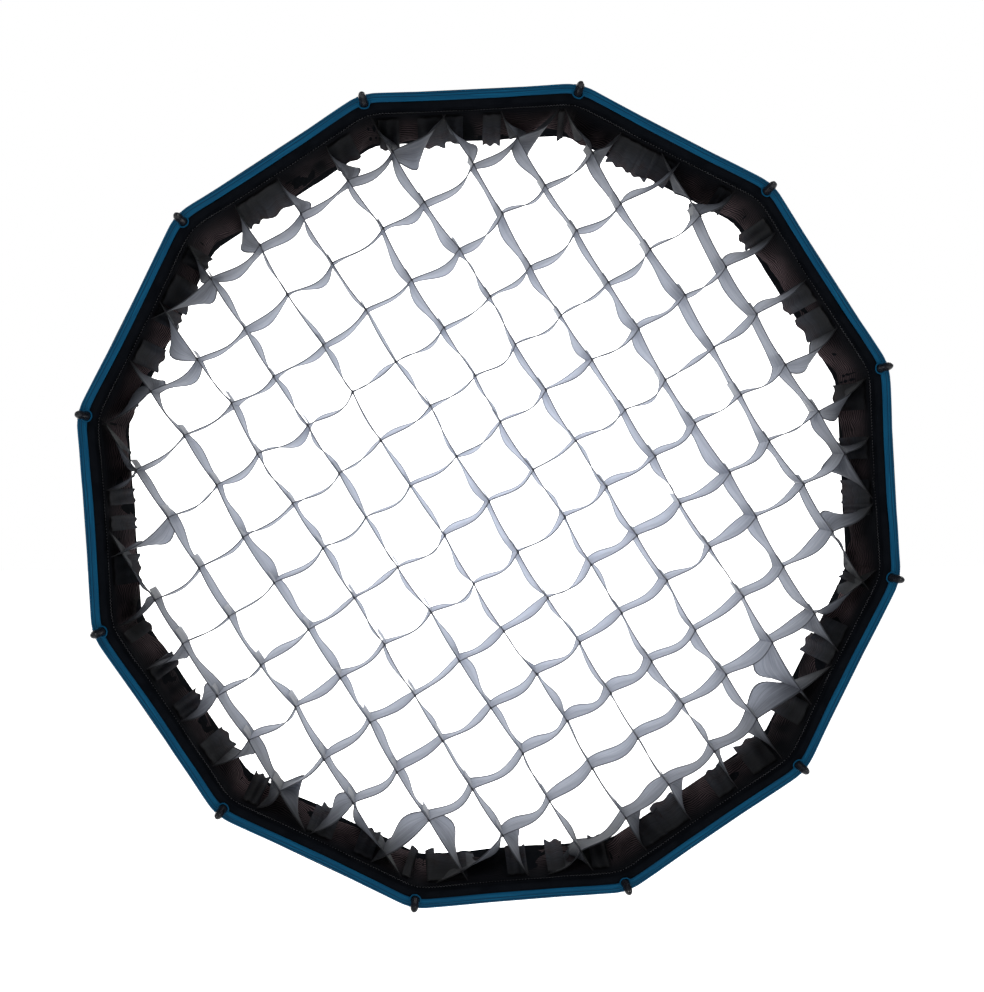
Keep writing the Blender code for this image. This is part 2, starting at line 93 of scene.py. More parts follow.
# Grid: two families of ribbons sewn together where they cross
RIBBON_HEIGHT = 0.0455
HEM_HALF = 0.00065
GRID_FRONT = 0.0075          # front edge, behind the rim's plane
FAMILY_A = Vector((0.0332, -0.0520))   # one cell along each family, as (x, z)
FAMILY_B = Vector((0.0492, 0.0345))
CROSSING = Vector((-0.1235, 0.0644))   # one of the crossings
CROSSING_WANDER = 0.0034
SAG_A = 0.0014
SAG_B = 0.0062
LEAN = 0.0032                # how far a crossing's rear end wanders from its front end
SLACK = 0.0048               # how far a span's rear edge bows sideways
SPAN_STEPS = 14
END_SWING = (0.008, 0.026)   # how far a ribbon's end swings sideways at the rear
LAP_LENGTH = 0.0150
TAB_LENGTH = (0.016, 0.036)
TAB_DROP = (0.75, 0.98)      # share of the skirt's depth
TAB_PLEATS = (1.2, 2.4)
GRID_CLEARANCE = 0.0022      # ribbons' ends to the lip
SKIRT_CLEARANCE = 0.0012
SKIRT_FRONT = 0.0085
SKIRT_REAR = 0.0535
# How light the grid's colour is, by distance from the axis: painted shade that darkens it towards
# the rim
REACH_OF_LIGHT = ((0.10, 1.0), (0.29, 0.73), (0.345, 0.64), (0.372, 0.56), (0.392, 0.28),
                  (0.412, 0.050), (0.430, 0.012))

# Camera, as measured against the rim
CAMERA_AT = Vector((-0.104, -2.0185, 0.050))
CAMERA_YAW_DEG = 3.503
CAMERA_PITCH_DEG = -1.676
CAMERA_LENS = 1500 * 36 / 992
FLOOR_Z = -1.05
FLOOR_HALF = 12
WORLD_LIGHT = 0.42           # the white surroundings light the object less than they show
LIGHTS = (                   # name, place, target, size, watts
    ("key", (-1.6, -2.6, 1.9), (0, -0.3, 0), (0.9, 1.6), 38),
    ("edge", (1.9, -1.2, 1.2), (0, -0.2, 0), (0.5, 1.4), 18),
    ("rear_right", (2.0, 1.9, 1.7), (0, -0.2, 0), (1.4, 1.4), 42),
    ("rear_left", (-2.1, 1.6, 0.9), (0, -0.2, 0), (1.0, 1.8), 26),
)


# ---------------------------------------------------------------- rod-plane geometry


def along(degrees):
    """Direction at that angle from the box's axis, as (radius, y)."""
    a = math.radians(degrees)
    return Vector((math.sin(a), -math.cos(a)))


def outward(degrees):
    """Normal of that direction, away from the inside of the box."""
    a = math.radians(degrees)
    return Vector((math.cos(a), math.sin(a)))


HINGE = Vector((HINGE_RADIUS, HINGE_Y))
ARC_START = HINGE + ROD_STRAIGHT * along(ROD_START_DEG)
MEAN_SLOPE = math.radians((ROD_START_DEG + ROD_END_DEG) / 2)
CHORD = (ROD_END_RADIUS - ARC_START.x) / math.sin(MEAN_SLOPE)
ARC_RADIUS = CHORD / 2 / math.sin(math.radians((ROD_START_DEG - ROD_END_DEG) / 2))
ARC_CENTRE = ARC_START - ARC_RADIUS * outward(ROD_START_DEG)


def on_arc(slope, offset=0.0):
    return ARC_CENTRE + (ARC_RADIUS + offset) * outward(slope)


RIM_SLOPE = ROD_END_DEG + math.degrees(RIM_BEFORE_ROD_END / ARC_RADIUS)
RIM_Y = on_arc(RIM_SLOPE).y


def lip_radius(depth, offset=LIP_OFFSET):
    """Corner radius of the lip at that depth behind the rim's plane."""
    y = RIM_Y + depth
    slope = math.degrees(math.asin((y - ARC_CENTRE.y) / (ARC_RADIUS - offset)))
    return on_arc(slope, -offset).x


def rod_angle(n):
    return math.radians(FIRST_ROD_DEG + n * PITCH_DEG)


def placed(x, z, y, angle):
    """World point from rod axes: x along the rim, z out along the rod's plane."""
    return Vector((x * math.cos(angle) + z * math.sin(angle), y,
                   z * math.cos(angle) - x * math.sin(angle)))


def flat_side(x):
    """How far a straight side at x lies inside its corner's radius."""
    return abs(x) * math.tan(HALF_PITCH)


def half_width(radius):
    """From a rod's plane to half-way to the next rod, at that corner radius."""
    return radius * math.sin(HALF_PITCH) * math.cos(HALF_PITCH)


def smooth_step(a, b, t):
    t = min(1, max(0, (t - a) / (b - a)))
    return t * t * (3 - 2 * t)


def waviness(p, scale, seed=0.0):
    """Smooth noise from -1 to 1, with features about scale metres across."""
    return noise.noise(Vector(p) / scale + Vector((seed, 1.7 * seed, -seed)))


# ---------------------------------------------------------------- materials


def feed(tree, socket, value):
    """Links a node's output into the socket, or sets a plain value or colour on it."""
    if isinstance(value, bpy.types.NodeSocket):
        tree.links.new(value, socket)
    elif socket.type == "RGBA" and len(value) == 3:
        socket.default_value = (*value, 1)
    else:
        socket.default_value = value


class Look:
    """Short-hand for building one procedural material."""

    def __init__(self, name, roughness=0.8, metallic=0.0, **settings):
        self.material = bpy.data.materials.new(name)
        self.material.use_nodes = True
        self.tree = self.material.node_tree
        self.shader = self.tree.nodes["Principled BSDF"]
        self.output = self.tree.nodes["Material Output"]
        self.set("Roughness", roughness)
        self.set("Metallic", metallic)
        for key, value in settings.items():
            self.set(key.replace("_", " "), value)

    def set(self, socket, value):
        self.shader.inputs[socket].default_value = value

    def node(self, kind, settings=None, inputs=None):
        made = self.tree.nodes.new(kind)
        for key, value in (settings or {}).items():
            setattr(made, key, value)
        for key, value in (inputs or {}).items():
            feed(self.tree, made.inputs[key], value)
        return made

    def place(self, uv):
        """Where on the surface: its own map in metres, or the object's space."""
        kind = "ShaderNodeUVMap" if uv else "ShaderNodeTexCoord"
        made = self.node(kind)
        if uv:
            made.uv_map = "metres"
            return made.outputs["UV"]
        return made.outputs["Object"]

    def maths(self, operation, a, b=0.0):
        return self.node("ShaderNodeMath", {"operation": operation}, {0: a, 1: b}).outputs[0]

    def times(self, a, b):
        return self.maths("MULTIPLY", a, b)

    def split(self, vector):
        made = self.node("ShaderNodeSeparateXYZ", inputs={"Vector": vector})
        return made.outputs

    def grain(self, place, size, detail=3.0, rough=0.6, stretch=(1, 1, 1)):
        """Noise with features about size metres across, from 0 to 1."""
        moved = self.node("ShaderNodeMapping", inputs={"Vector": place, "Scale": stretch})
        made = self.node("ShaderNodeTexNoise", inputs={
            "Vector": moved.outputs[0], "Scale": 1 / size, "Detail": detail, "Roughness": rough})
        return made.outputs["Fac"]

    def ramp(self, value, *stops):
        """Colour from a value, by (place, colour) stops."""
        made = self.node("ShaderNodeValToRGB", inputs={"Fac": value})
        ramp = made.color_ramp
        while len(ramp.elements) < len(stops):
            ramp.elements.new(0.5)
        for element, (at, colour) in zip(ramp.elements, stops):
            element.position = at
            element.color = (*colour, 1)
        return made.outputs["Color"]

    def levels(self, value, low, high):
        """A 0..1 value spread from low to high."""
        made = self.node("ShaderNodeMapRange", inputs={
            "Value": value, "To Min": low, "To Max": high})
        return made.outputs["Result"]

    def weave(self, place, thread):
        """Plain weave, from 0 between threads to 1 on their crowns."""
        x, y, _ = self.split(place)
        warp = self.maths("SINE", self.times(x, math.pi / thread))
        weft = self.maths("SINE", self.times(y, math.pi / thread))
        over = self.maths("MULTIPLY", warp, weft)
        crowns = self.maths("ADD", self.maths("ABSOLUTE", warp), self.maths("ABSOLUTE", weft))
        half = self.maths("MULTIPLY", crowns, 0.35)
        return self.maths("ADD", half, self.maths("MULTIPLY", self.maths("ABSOLUTE", over), 0.3))

    def colour(self, socket):
        self.tree.links.new(socket, self.shader.inputs["Base Color"])

    def rough(self, socket):
        self.tree.links.new(socket, self.shader.inputs["Roughness"])

    def bump(self, height, distance, strength=0.6, onto=None):
        inputs = {"Height": height, "Distance": distance, "Strength": strength}
        if onto is not None:
            inputs["Normal"] = onto
        made = self.node("ShaderNodeBump", inputs=inputs)
        self.tree.links.new(made.outputs[0], self.shader.inputs["Normal"])
        return made.outputs[0]

    def translucent(self, share, colour):
        """Lets that share of the light through from behind, in that colour."""
        back = self.node("ShaderNodeBsdfTranslucent", inputs={"Color": colour})
        mix = self.node("ShaderNodeMixShader", inputs={
            0: share, 1: self.shader.outputs[0], 2: back.outputs[0]})
        self.tree.links.new(mix.outputs[0], self.output.inputs["Surface"])

    def paint(self, obj):
        """Gives a CAD node this finish."""
        for place in obj.material_slots:
            place.link = "OBJECT"
            place.material = self.material


def mixed(look, factor, a, b, blend="MIX"):
    """Colour a with that share of colour b; 6 and 7 are the node's two colour sockets."""
    made = look.node("ShaderNodeMix", {"data_type": "RGBA", "blend_type": blend},
                     {"Factor": factor, 6: a, 7: b})
    return made.outputs[2]


def shell_look():
    """Black coated nylon: fine weave, faint creases, two rows of stitching by each rod."""
    look = Look("shell_nylon", Specular_IOR_Level=0.3)
    place = look.place(True)
    weave = look.weave(place, 0.0009)
    creases = look.grain(place, 0.035, 4, 0.55, (1, 0.5, 1))
    x, y, _ = look.split(place)
    beside = look.maths("ABSOLUTE", look.maths("SUBTRACT", look.maths("ABSOLUTE", x), 0.0080))
    row = look.maths("LESS_THAN", beside, 0.00035)
    dash = look.maths("GREATER_THAN", look.maths("SINE", look.times(y, 2300)), -0.35)
    thread = look.times(row, dash)
    cloth = look.ramp(creases, (0.3, (0.007, 0.0075, 0.009)), (0.7, (0.014, 0.015, 0.018)))
    look.colour(mixed(look, thread, cloth, (0.055, 0.058, 0.064)))
    look.rough(look.levels(creases, 0.42, 0.62))
    fine = look.bump(weave, 0.00025, 0.45)
    folds = look.bump(creases, 0.0035, 0.55, fine)
    look.bump(thread, 0.0005, 0.8, folds)
    return look.material


def lining_look():
    """Silver coated lining, slightly crumpled."""
    look = Look("silver_lining", metallic=0.55, roughness=0.42)
    place = look.place(True)
    crumple = look.grain(place, 0.012, 5, 0.6)
    look.colour(look.ramp(crumple, (0.25, (0.42, 0.43, 0.45)), (0.75, (0.66, 0.67, 0.69))))
    look.rough(look.levels(crumple, 0.32, 0.52))
    fine = look.bump(look.weave(place, 0.0008), 0.00015, 0.35)
    look.bump(crumple, 0.0020, 0.6, fine)
    return look.material


def binding_look():
    """Petrol satin tape: fine ribs across it, and a soft lengthwise streak of painted sheen."""
    look = Look("petrol_binding", roughness=0.42, Specular_IOR_Level=0.06)
    place = look.place(True)
    x, y, _ = look.split(place)
    # Painted sheen: lengthwise streaks lighten the tape's colour
    streak = look.grain(place, 0.02, 3, 0.6, (0.35, 9, 1))
    shade = look.ramp(streak, (0.25, (0.0004, 0.032, 0.074)), (0.52, (0.0005, 0.046, 0.101)),
                      (0.80, (0.0012, 0.084, 0.170)))
    across = look.maths("ABSOLUTE", look.maths("SUBTRACT", y, 0.0062))
    row = look.maths("LESS_THAN", across, 0.00022)
    dash = look.maths("GREATER_THAN", look.maths("SINE", look.times(x, 2500)), -0.3)
    thread = look.times(row, dash)
    sewn = mixed(look, thread, shade, (0.0010, 0.030, 0.062))
    # Painted shade: the colour darkens along the two grooves
    sides = [look.maths("SUBTRACT", y, middle) for middle in BINDING_GROOVES]
    near = [look.maths("LESS_THAN", look.maths("ABSOLUTE", side), 0.00045) for side in sides]
    groove_shade = look.times(look.maths("MAXIMUM", *near), 0.75)
    look.colour(mixed(look, groove_shade, sewn, (0.0003, 0.010, 0.024)))
    look.rough(look.levels(streak, 0.34, 0.52))
    ribs = look.maths("SINE", look.times(x, 5200))
    fine = look.bump(ribs, 0.00012, 0.35)
    look.bump(look.grain(place, 0.006, 3, 0.6, (1, 1.6, 1)), 0.0008, 0.5, fine)
    return look.material


def lip_look():
    """Near-black velour that the hook tape holds on to."""
    look = Look("lip_velour", roughness=0.9, Specular_IOR_Level=0.02)
    place = look.place(True)
    pile = look.grain(place, 0.0012, 2, 0.7)
    patch = look.grain(place, 0.03, 3)
    look.colour(look.ramp(patch, (0.3, (0.0012, 0.0017, 0.0027)), (0.75, (0.0036, 0.0044, 0.0062))))
    fine = look.bump(pile, 0.0006, 0.6)
    look.bump(patch, 0.0020, 0.5, fine)
    return look.material


def thread_look():
    look = Look("grey_thread", roughness=0.6, Sheen_Weight=0.2)
    place = look.place(False)
    twist = look.grain(place, 0.0015, 2)
    look.colour(look.ramp(twist, (0.2, (0.025, 0.027, 0.034)), (0.9, (0.085, 0.090, 0.105))))
    look.bump(twist, 0.0004, 0.6)
    return look.material


def moire(look, place, pitch, amount):
    """Wavy lines that pitch apart, as two layers of voile show against the light."""
    _, y, _ = look.split(place)
    warped = look.grain(place, 0.022, 3, 0.5)
    straight = look.times(y, math.tau / pitch)
    lines = look.maths("ADD", straight, look.times(warped, amount))
    return look.maths("ADD", look.times(look.maths("SINE", lines), 0.5), 0.5)


def ribbon_look(name="grid_ribbon", dark=(0.240, 0.262, 0.322), light=(0.585, 0.622, 0.715),
                painted_backlight=0.0):
    """Thin grey-blue nylon ribbon that lets some light through: lengthwise streaks, darker
    hems, and painted shade that darkens it towards the rim, where less light reaches it.
    The last argument is how much of it shows brownish wavy lines of painted backlight."""
    look = Look(name, roughness=0.62, Specular_IOR_Level=0.15)
    place = look.place(True)
    streak = look.grain(place, 0.018, 4, 0.65, (0.25, 5, 1))
    tone = look.ramp(streak, (0.25, dark), (0.75, light))
    # Painted backlight: brownish wavy lines in patches, as the cloth shows against the light behind
    # it
    if painted_backlight:
        lines = look.ramp(moire(look, place, 0.0022, 30), (0.15, (0.045, 0.032, 0.036)),
                          (0.85, (0.34, 0.25, 0.26)))
        where = look.ramp(look.grain(place, 0.040, 2), (0.47, (0, 0, 0)), (0.60, (1, 1, 1)))
        tone = mixed(look, look.times(where, painted_backlight), tone, lines)
    _, across, _ = look.split(place)
    off_centre = look.maths("ABSOLUTE", look.maths("SUBTRACT", across, RIBBON_HEIGHT / 2))
    hem = look.maths("GREATER_THAN", off_centre, RIBBON_HEIGHT / 2 - 0.0022)
    edged = mixed(look, look.times(hem, 0.5), tone, (0.040, 0.043, 0.056))
    # Painted shade: the colour is multiplied down with distance from the axis, by REACH_OF_LIGHT
    x, _, z = look.split(look.place(False))
    square = look.maths("ADD", look.times(x, x), look.times(z, z))
    out = look.maths("DIVIDE", look.maths("SQRT", square), RIM_RADIUS)
    fade = look.ramp(out, *[(r / RIM_RADIUS, (f, f, f)) for r, f in REACH_OF_LIGHT])
    shade = mixed(look, 1.0, edged, fade, "MULTIPLY")
    look.colour(shade)
    look.rough(look.levels(streak, 0.5, 0.72))
    fine = look.bump(look.weave(place, 0.0006), 0.00012, 0.3)
    look.bump(streak, 0.0008, 0.4, fine)
    look.translucent(0.4, shade)
    return look.material


def skirt_look():
    """Band of the grid against the lip: black voile, paler towards its rear edge with painted
    backlight, where it shows brownish wavy lines in patches."""
    look = Look("grid_skirt_voile", roughness=0.8, Specular_IOR_Level=0.05)
    place = look.place(True)
    _, depth, _ = look.split(place)
    lines = moire(look, place, 0.0024, 26)
    patch = look.grain(place, 0.060, 2, 0.5, (1, 0.7, 1))
    # Painted backlight: brownish lines in patches, growing towards the rear edge
    painted_backlight = look.ramp(lines, (0.10, (0.020, 0.014, 0.017)), (0.55, (0.060, 0.041, 0.046)),
                      (0.95, (0.165, 0.118, 0.122)))
    black = look.ramp(lines, (0.1, (0.0020, 0.0026, 0.0038)), (0.9, (0.0052, 0.0058, 0.0080)))
    where = look.ramp(patch, (0.36, (0, 0, 0)), (0.60, (1, 1, 1)))
    deep = look.node("ShaderNodeMapRange", {"interpolation_type": "SMOOTHSTEP"}, {
        "Value": depth, "From Min": 0.008, "From Max": 0.050, "To Min": 0.0, "To Max": 1.0})
    share = look.times(deep.outputs["Result"], where)
    cloth = mixed(look, share, black, painted_backlight)
    look.colour(cloth)
    fine = look.bump(look.weave(place, 0.0008), 0.00015, 0.3)
    look.bump(patch, 0.0020, 0.4, fine)
    look.translucent(0.4, cloth)
    return look.material


def diffuser_look(name, strength):
    """White diffusion cloth with the light on behind it, as a painted glow: it gives off its colour
    as light.
    """
    look = Look(name, roughness=0.85, Sheen_Weight=0.1)
    place = look.place(True)
    weave = look.weave(place, 0.0012)
    soft = look.grain(place, 0.06, 2)
    tone = look.ramp(weave, (0.1, (0.84, 0.84, 0.83)), (0.8, (0.93, 0.93, 0.92)))
    look.colour(tone)
    look.bump(soft, 0.0015, 0.25, look.bump(weave, 0.0002, 0.3))
    look.tree.links.new(tone, look.shader.inputs["Emission Color"])
    look.set("Emission Strength", strength)
    return look.material


def moulded_look(name, low, high, gloss=(0.34, 0.52), grain=0.0009, depth=0.00025):
    """Moulded plastic: fine grain, slightly uneven gloss, faint scuffs."""
    look = Look(name, Specular_IOR_Level=0.45)
    place = look.place(False)
    pits = look.grain(place, grain, 3, 0.6)
    handled = look.grain(place, 0.018, 4, 0.6)
    scuff = look.grain(place, 0.004, 6, 0.75, (1, 6, 1))
    tone = look.ramp(handled, (0.3, low), (0.7, high))
    worn = tuple(min(1, 2.2 * c + 0.01) for c in high)
    look.colour(mixed(look, look.levels(scuff, -2.6, 1.2), tone, worn))
    look.rough(look.levels(handled, *gloss))
    look.bump(pits, depth, 0.5)
    return look


def tip_look():
    """Glossy black nylon cap with faint scuffs."""
    look = Look("tip_gloss", roughness=0.2, Specular_IOR_Level=0.25)
    place = look.place(False)
    smear = look.grain(place, 0.004, 4, 0.65)
    look.colour(look.ramp(smear, (0.3, (0.0035, 0.004, 0.006)), (0.8, (0.010, 0.011, 0.014))))
    look.rough(look.levels(smear, 0.14, 0.34))
    look.bump(smear, 0.0003, 0.25)
    return look


def metal_look(name, low, high, gloss, axis_stretch):
    """Turned or brushed metal, with streaks along one way."""
    look = Look(name, metallic=0.95)
    place = look.place(False)
    lines = look.grain(place, 0.0012, 3, 0.6, axis_stretch)
    blotch = look.grain(place, 0.012, 3)
    tone = look.ramp(blotch, (0.25, low), (0.75, high))
    look.colour(tone)
    look.rough(look.levels(lines, *gloss))
    look.bump(lines, 0.00012, 0.35)
    return look


def rod_look():
    """Black coated spring steel, with bright rubbed spots."""
    look = Look("rod_coating", metallic=0.35)
    place = look.place(False)
    coat = look.grain(place, 0.0025, 4)
    rubbed = look.grain(place, 0.02, 5, 0.7)
    tone = look.ramp(coat, (0.2, (0.018, 0.018, 0.020)), (0.8, (0.034, 0.034, 0.037)))
    look.colour(mixed(look, look.levels(rubbed, -1.9, 1.3), tone, (0.16, 0.16, 0.17)))
    look.rough(look.levels(coat, 0.30, 0.45))
    look.bump(coat, 0.0002, 0.4)
    return look


SHELL, LINING, BINDING = shell_look(), lining_look(), binding_look()
LIP, THREAD, SKIRT = lip_look(), thread_look(), skirt_look()
RIBBON = ribbon_look()
LAP = ribbon_look("grid_lap", (0.55, 0.57, 0.62), (0.80, 0.82, 0.86))
KNOT = ribbon_look("grid_knot", (0.030, 0.032, 0.042), (0.090, 0.096, 0.115))
HEM = ribbon_look("grid_hem", (0.110, 0.117, 0.145), (0.240, 0.254, 0.295))
# The tabs: a darker copy of the ribbon cloth, painted shade, with brownish wavy lines of painted
# backlight
SHADED_TAB = ribbon_look("grid_tab", (0.100, 0.110, 0.145), (0.290, 0.312, 0.385), 0.85)
DIFFUSER = diffuser_look("diffuser_cloth", 2.4)
BAFFLE = diffuser_look("baffle_cloth", 1.2)


# ---------------------------------------------------------------- mesh building


def new_object(name, data):
    obj = bpy.data.objects.new(name, data)
    bpy.context.scene.collection.objects.link(obj)
    return obj


class Cloth:
    """Collects quads with a map in metres and a material for each, then makes one mesh."""

    def __init__(self, *materials):
        self.materials = materials
        self.points, self.faces, self.maps, self.kinds = [], [], [], []

    def point(self, p):
        self.points.append(tuple(p))
        return len(self.points) - 1

    def face(self, corners, uvs, kind=0):
        self.faces.append(corners)
        self.maps.append(uvs)
        self.kinds.append(kind)

    def grid(self, rows, uvs, kind=0, flip=False, closed=False):
        """Quads over rows of points; kind may be one number or one for each column."""
        made = [[self.point(p) for p in row] for row in rows]
        for i in range(len(rows) - 1):
            across = len(rows[i]) if closed else len(rows[i]) - 1
            for j in range(across):
                k = (j + 1) % len(rows[i])
                corners = [made[i][j], made[i][k], made[i + 1][k], made[i + 1][j]]
                uv = [uvs[i][j], uvs[i][k], uvs[i + 1][k], uvs[i + 1][j]]
                if flip:
                    corners.reverse()
                    uv.reverse()
                self.face(corners, uv, kind if isinstance(kind, int) else kind[i])
        return made

    def object(self, name, normals=None):
        data = bpy.data.meshes.new(name)
        data.from_pydata(self.points, [], self.faces)
        for m in self.materials:
            data.materials.append(m)
        layer = data.uv_layers.new(name="metres")
        n = 0
        for polygon, uv in zip(data.polygons, self.maps):
            for corner in uv:
                layer.data[n].uv = corner
                n += 1
        data.polygons.foreach_set("material_index", self.kinds)
        data.shade_smooth()
        data.update()
        if normals:
            data.normals_split_custom_set_from_vertices(normals)
        return new_object(name, data)


def loop_of_cord(cloth, path, radius, sides=8):
    """Round cord along a closed path of points."""
    count = len(path)
    rings, uvs, run = [], [], 0.0
    for n, p in enumerate(path):
        before = path[(n - 1) % count]
        after = path[(n + 1) % count]
        forward = (after - before).normalized()
        side = forward.cross(Vector((0.13, 0.97, 0.21))).normalized()
        up = side.cross(forward)
        ring = []
        for k in range(sides):
            a = math.tau * k / sides
            ring.append(p + radius * (math.cos(a) * side + math.sin(a) * up))
        rings.append(ring)
        uvs.append([(run, k * radius) for k in range(sides)])
        run += (after - before).length / 2
    rings.append(rings[0])
    uvs.append(uvs[0])
    cloth.grid(rings, uvs, closed=True)


def fold_with(obj, n):
    """Rides on rod n, on a mesh of its own."""
    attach(obj, f"rod_body_{n + 1:02d}")
    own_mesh(obj)


# ---------------------------------------------------------------- shell


def wall_profile():
    """(corner radius, y, slope, share of the way to the rim) from hub to rim, outer skin."""
    found = []
    for n in range(4):
        s = GORE_START + (ROD_STRAIGHT - GORE_START) * n / 4
        p = HINGE + s * along(ROD_START_DEG) + HUB_OFFSET * outward(ROD_START_DEG)
        found.append((p.x, p.y, ROD_START_DEG, 0.0))
    steps = 38
    for n in range(steps + 1):
        share = n / steps
        slope = ROD_START_DEG + (RIM_SLOPE - ROD_START_DEG) * share
        near_hub = 1 - smooth_step(0.0, 0.16, share)
        near_rim = smooth_step(0.88, 1.0, share)
        offset = WALL_OFFSET + (HUB_OFFSET - WALL_OFFSET) * near_hub + 0.0048 * near_rim
        p = on_arc(slope, offset)
        found.append((p.x, p.y, slope, share))
    rim = Vector((RIM_RADIUS - 0.0006, RIM_Y + 0.0012))
    ease = found[-5:]
    last = found[-1]
    for n, (radius, y, slope, share) in enumerate(ease):
        t = smooth_step(0, 1, n / (len(ease) - 1))
        found[len(found) - 5 + n] = (radius + (rim.x - last[0]) * t, y + (rim.y - last[1]) * t,
                                     slope, share)
    return found


def columns(radius):
    """Places across a gore: fixed beside the rod, then spread to half-way to the next."""
    half = half_width(radius)
    near = [0, 0.0028, CASING_HALF, CASING_HALF + 0.0010, TAPE_HALF - 0.0003, TAPE_HALF + 0.0004]
    spread = 8
    start = near[-1]
    far = [start + (half - start) * (k / spread) for k in range(1, spread + 1)]
    right = near + far
    return [-x for x in reversed(right[1:])] + right, half


def casing(x):
    """Rise of the rod's casing and the seam tape beside it."""
    x = abs(x)
    return (CASING_RISE * (1 - smooth_step(CASING_HALF, CASING_HALF + 0.0010, x))
            + TAPE_RISE * (1 - smooth_step(TAPE_HALF - 0.0003, TAPE_HALF + 0.0004, x)))


def skin(radius, y, slope, x, half, share, angle, depth=0.0):
    """A point of the shell; depth is how far in from the outer face."""
    around = abs(x) / half
    turn = HALF_PITCH * (x / half)
    out = outward(slope)
    normal = Vector((math.sin(turn) * out.x, out.y, math.cos(turn) * out.x))
    held = math.sin(math.pi * min(1, max(0, share))) ** 0.6
    pull = SAG * held * math.sin(math.pi / 2 * around) ** 2
    round_off = 0.0022 * math.exp(-(x / 0.006) ** 2)
    p = Vector((x, y, radius - flat_side(x)))
    lift = (casing(x) if depth == 0 else 0) - pull - round_off - depth
    p += lift * normal
    world = placed(p.x, p.z, p.y, angle)
    out_world = placed(normal.x, normal.z, normal.y, angle)
    fade = smooth_step(0.02, 0.2, share) * (1 - smooth_step(0.93, 1.0, share))
    fade *= smooth_step(0.05, 0.35, around)
    wrinkle = sum(size * waviness(world, scale, seed) for size, scale, seed in WRINKLES)
    return world + fade * wrinkle * out_world


def shell_gore(n):
    """One gore in zones along its length, black outside and silver within."""
    angle = rod_angle(n)
    profile = wall_profile()
    outer, inner, lines, run = [], [], [], 0.0
    for i, (radius, y, slope, share) in enumerate(profile):
        if i:
            run += math.hypot(radius - profile[i - 1][0], y - profile[i - 1][1])
        xs, half = columns(radius)
        outer.append([skin(radius, y, slope, x, half, share, angle) for x in xs])
        inner.append([skin(radius, y, slope, x, half, share, angle, CLOTH) for x in xs])
        lines.append([(x, run) for x in xs])
    count = len(profile)
    cuts = [round(k * (count - 1) / SHELL_ZONES) for k in range(SHELL_ZONES + 1)]
    slanted = [placed(0, 1, 0, angle + side * HALF_PITCH) for side in (-1, 1)]
    for zone, (a, b) in enumerate(zip(cuts, cuts[1:])):
        cloth = Cloth(SHELL, LINING)
        normals = []
        for rows, inside in ((outer, False), (inner, True)):
            cloth.grid(rows[a:b + 1], lines[a:b + 1], 1 if inside else 0, flip=not inside)
            for i in range(a, b + 1):
                for j in range(len(rows[i])):
                    up = rows[min(i + 1, count - 1)][j] - rows[max(i - 1, 0)][j]
                    last = len(rows[i]) - 1
                    side = rows[i][min(j + 1, last)] - rows[i][max(j - 1, 0)]
                    normal = up.cross(side).normalized()
                    if j in (0, last):
                        flat = slanted[0 if j == 0 else 1]
                        across = Vector((flat.z, 0, -flat.x))
                        normal = (normal - normal.dot(across) * across).normalized()
                    normals.append(-normal if inside else normal)
        if zone == 0:
            made = len(cloth.points)
            cloth.grid([inner[a], outer[a]], [lines[a], [(u, v + CLOTH) for u, v in lines[a]]],
                       flip=True)
            out = along(ROD_START_DEG)
            normals += [placed(0, -out.x, -out.y, angle)] * (len(cloth.points) - made)
        obj = cloth.object(f"shell_{n + 1:02d}_zone_{zone + 1}", normals)
        if zone == 0:
            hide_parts(f"shell_gore_{n + 1:02d}")
        fold_with(obj, n)


def hub_collar(n):
    """Rolled hem round the cloth's opening at the hub, with its own tape."""
    angle = rod_angle(n)
    radius, y, slope, _ = wall_profile()[0]
    out, run = outward(slope), along(slope)
    cloth = Cloth(SHELL)
    rows, uvs = [], []
    xs, half = columns(radius)
    for k in range(11):
        a = math.tau * k / 10
        row = []
        for x in xs:
            base = skin(radius, y, slope, x, half, 0.0, 0.0)
            lift, shift = 0.0018 * math.sin(a) - 0.0006, 0.0020 * math.cos(a)
            z = base.z + lift * out.x + shift * run.x
            row.append(placed(base.x, z, base.y + lift * out.y + shift * run.y, angle))
        rows.append(row)
        uvs.append([(x, 0.0013 * k) for x in xs])
    cloth.grid(rows, uvs)
    obj = cloth.object(f"hub_hem_{n + 1:02d}")
    fold_with(obj, n)


# ---------------------------------------------------------------- rim, binding and lip


